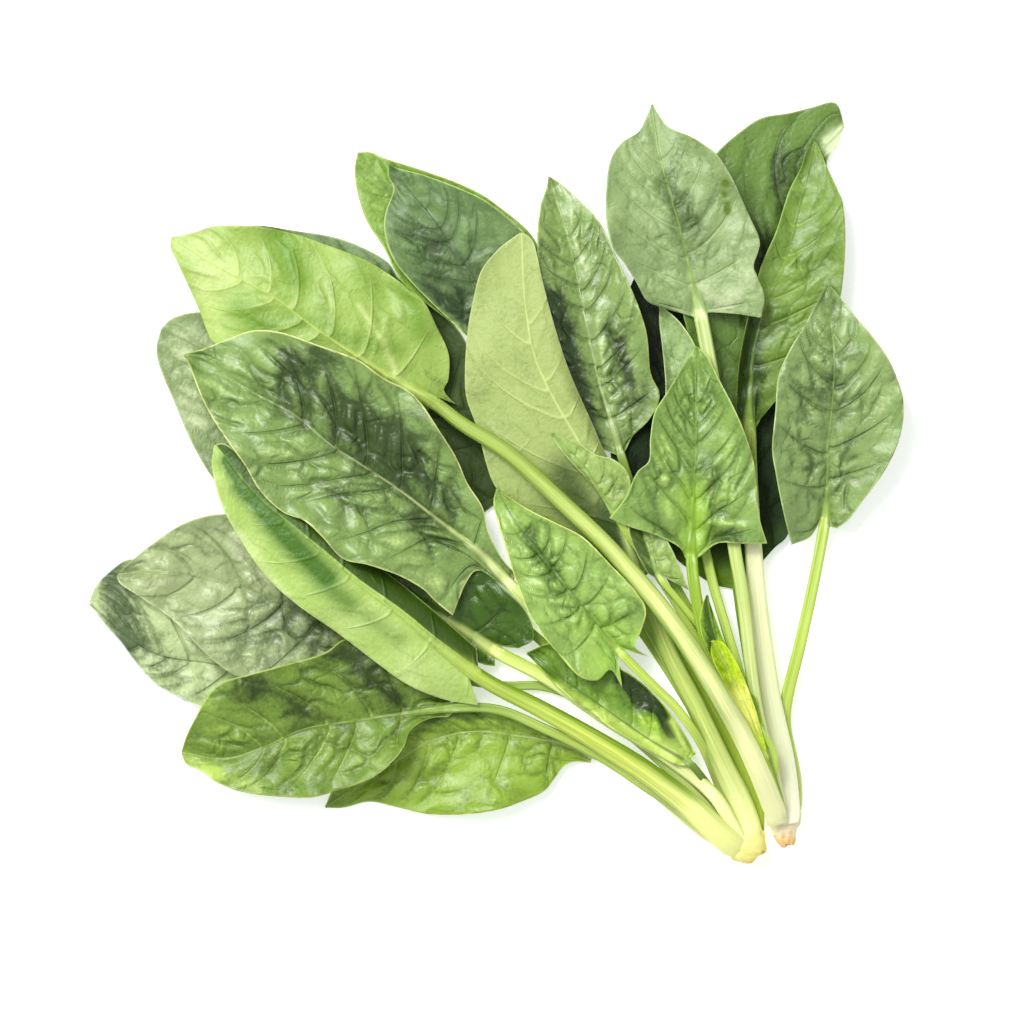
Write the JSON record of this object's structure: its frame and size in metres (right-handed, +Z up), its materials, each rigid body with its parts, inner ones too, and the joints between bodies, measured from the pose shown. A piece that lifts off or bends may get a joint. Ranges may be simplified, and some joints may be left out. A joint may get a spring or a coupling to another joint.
{
  "type": "spinach bunch",
  "caption": "Fresh spinach bunch lying flat: broad leaves on long pale stalks, gathered into root crowns at one end.",
  "frame": {"origin": "middle of the bunch in plan, on the surface it lies on", "axes": "+Z up from the surface, the root crowns at the -Y, +X corner and the leaf tips spread towards -X and +Y"},
  "size_m": [0.2716, 0.254, 0.0232],
  "materials": {
    "leaf_dark": "dark green leaf blade, waxy sheen",
    "leaf_mid": "mid green leaf blade, waxy sheen",
    "leaf_pale": "pale yellow-green underside of a leaf, satin",
    "leaf_lime": "lime young leaf, satin",
    "crown": "pale cream crown with a tan root end, satin"
  },
  "bodies": {
    "root": {"crown_left": "crown", "crown_right": "crown", "leaf_left_back": "leaf_mid", "leaf_under_pale": "leaf_dark", "leaf_far_left": "leaf_dark", "leaf_left_sheen": "leaf_mid", "leaf_bottom": "leaf_mid", "leaf_lower_left": "leaf_mid", "leaf_bright_back": "leaf_mid", "leaf_grey_green": "leaf_dark", "leaf_dark_centre": "leaf_dark", "leaf_ridged": "leaf_dark", "leaf_back_right": "leaf_dark", "leaf_front_right": "leaf_mid", "leaf_pale_centre": "leaf_pale", "leaf_small_pale": "leaf_mid", "leaf_small_hidden": "leaf_mid", "leaf_narrow_dark": "leaf_dark", "leaf_folded": "leaf_pale", "leaf_heart_left": "leaf_mid", "leaf_behind_arrow": "leaf_mid", "leaf_holed": "leaf_mid", "leaf_right": "leaf_mid", "leaf_arrow": "leaf_mid", "leaf_heart_green": "leaf_lime", "leaf_heart_lime": "leaf_lime", "leaf_large_pale": "leaf_pale", "leaf_large_dark": "leaf_dark", "leaf_small_centre": "leaf_mid"}
  },
  "joints": []
}
